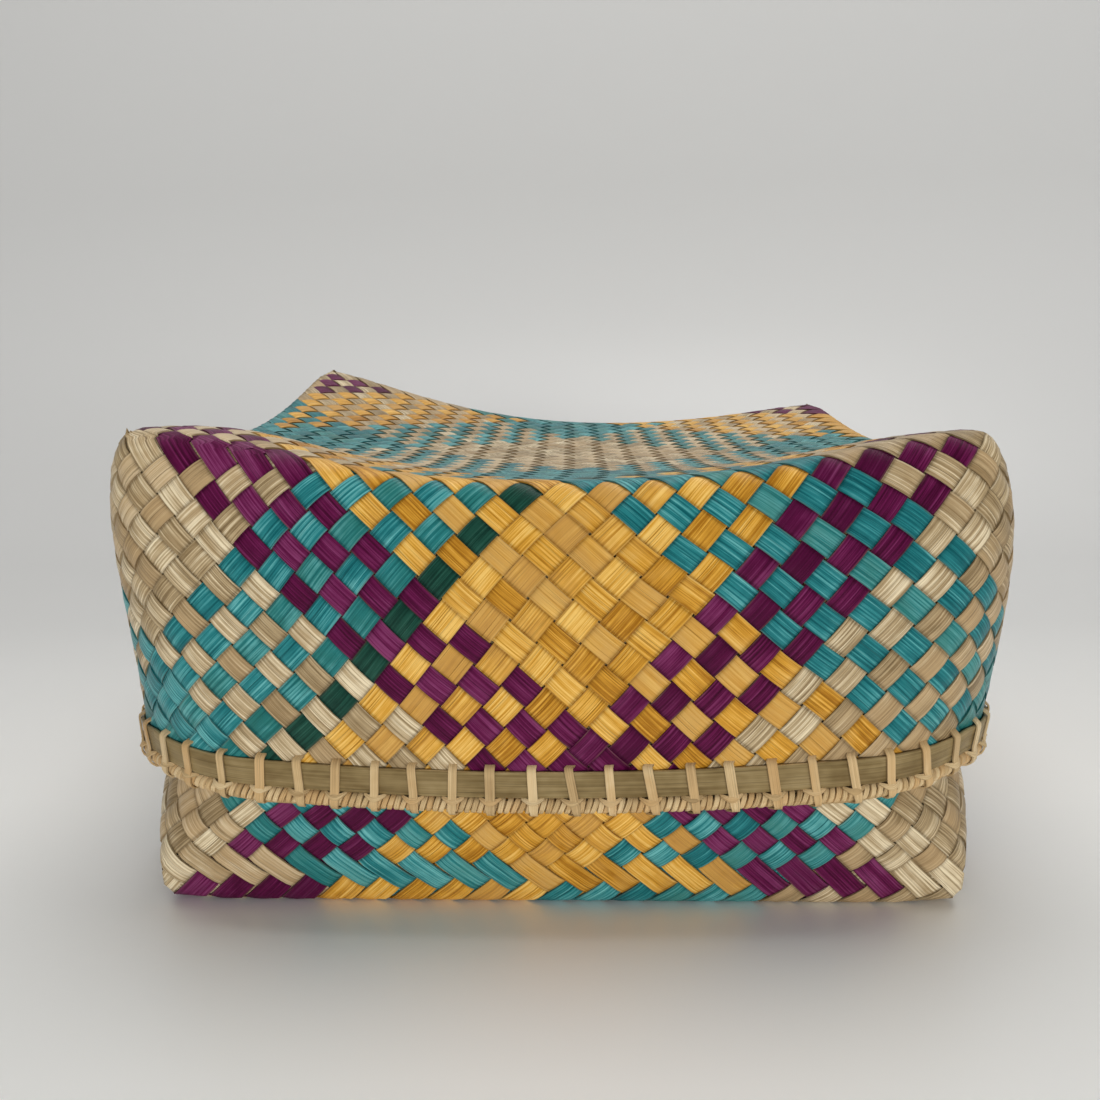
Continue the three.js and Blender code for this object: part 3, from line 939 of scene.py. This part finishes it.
eye = (0.01408, -0.4229, 0.17498)
focal_pixels, photo_pixels = 1042.67, 1100
pitch, yaw, roll = math.radians(11.634), math.radians(-2.685), math.radians(-1.091)
forward = Vector((
    math.sin(yaw) * math.cos(pitch), math.cos(yaw) * math.cos(pitch), -math.sin(pitch)
))
level_right = Vector((math.cos(yaw), -math.sin(yaw), 0))
level_up = level_right.cross(forward)
right = math.cos(roll) * level_right + math.sin(roll) * level_up
up = -math.sin(roll) * level_right + math.cos(roll) * level_up
camera = bpy.data.objects.new("camera", bpy.data.cameras.new("camera"))
camera.data.sensor_width = 36
camera.data.lens = focal_pixels / photo_pixels * camera.data.sensor_width
camera.data.clip_start = 0.01
camera.matrix_world = Matrix((
    (right.x, up.x, -forward.x, eye[0]),
    (right.y, up.y, -forward.y, eye[1]),
    (right.z, up.z, -forward.z, eye[2]),
    (0, 0, 0, 1),
))
bpy.context.scene.collection.objects.link(camera)
bpy.context.scene.camera = camera

floor_front, floor_back = -1.5, 0.2
cove_radius = 0.3
backdrop_height = backdrop_half_width = 3
backdrop_mesh = bmesh.new()
profile = [(floor_front, 0), (floor_back, 0)]
for turn in np.linspace(0.1, math.pi / 2, 16):
    profile.append((floor_back + cove_radius * math.sin(turn), cove_radius * (1 - math.cos(turn))))
profile.append((floor_back + cove_radius, backdrop_height))
cells = bmesh.ops.create_grid(backdrop_mesh, x_segments=1, y_segments=len(profile) - 1, size=1)["verts"]
for index, vert in enumerate(cells):
    back, height = profile[index // 2]
    vert.co = (backdrop_half_width if index % 2 else -backdrop_half_width, back, height)
backdrop = finished(backdrop_mesh, "backdrop")
backdrop_finish = bpy.data.materials.new("pale_paper")
backdrop_finish.use_nodes = True
paper_tree = backdrop_finish.node_tree
paper = paper_tree.nodes["Principled BSDF"]
paper_place = paper_tree.nodes.new("ShaderNodeTexCoord")
paper_depth = paper_tree.nodes.new("ShaderNodeSeparateXYZ")
paper_tree.links.new(paper_place.outputs["Object"], paper_depth.inputs[0])
# Painted shade: the paper darkens from under the box back into the wall, which gets less light
paper_shade_ramp = paper_tree.nodes.new("ShaderNodeMapRange")
paper_shade_ramp.inputs["From Min"].default_value = -0.05
paper_shade_ramp.inputs["From Max"].default_value = 0.3
paper_tree.links.new(paper_depth.outputs["Y"], paper_shade_ramp.inputs["Value"])
paper_colour = mixed(
    paper_tree, paper_shade_ramp.outputs["Result"], painted(244, 244, 242), painted(207, 207, 206)
)
paper_tree.links.new(paper_colour, paper.inputs["Base Color"])
paper.inputs["Roughness"].default_value = 0.4
paper.inputs["Specular IOR Level"].default_value = 0.8
backdrop.data.materials.append(backdrop_finish)


def lamp(name, place, aim, size, power, tint, is_reflected=True):
    """A soft oblong light, aimed at a place."""
    light = bpy.data.lights.new(name, "AREA")
    light.shape = "RECTANGLE"
    light.size, light.size_y = size
    light.energy = power
    light.color = tint
    piece = bpy.data.objects.new(name, light)
    piece.location = place
    piece.rotation_mode = "QUATERNION"
    piece.rotation_quaternion = (Vector(aim) - Vector(place)).to_track_quat("-Z", "Y")
    piece.visible_glossy = is_reflected
    bpy.context.scene.collection.objects.link(piece)


daylight = (1, 0.99, 0.97)
lamp("ceiling", place=(0.05, 0.25, 1.3), aim=(0, 0, 0.05), size=(1.2, 0.9), power=11.5, tint=daylight)
lamp(
    "room", place=(0.5, -3.4, 0.42), aim=(0, 0, 0.08), size=(3.6, 0.7), power=78, tint=daylight,
    is_reflected=False,
)

world = bpy.data.worlds.new("room")
world.use_nodes = True
air = world.node_tree
sky = air.nodes["Background"]
sky.inputs["Color"].default_value = (0.97, 0.985, 1, 1)
sky.inputs["Strength"].default_value = 0.19
far_wall = air.nodes.new("ShaderNodeBackground")
far_wall.inputs["Color"].default_value = painted(196, 196, 195)
seen = air.nodes.new("ShaderNodeLightPath")
either = air.nodes.new("ShaderNodeMixShader")
air.links.new(seen.outputs["Is Camera Ray"], either.inputs["Fac"])
air.links.new(sky.outputs["Background"], either.inputs[1])
air.links.new(far_wall.outputs["Background"], either.inputs[2])
air.links.new(either.outputs["Shader"], air.nodes["World Output"].inputs["Surface"])
bpy.context.scene.world = world
bpy.context.scene.view_settings.view_transform = "Standard"
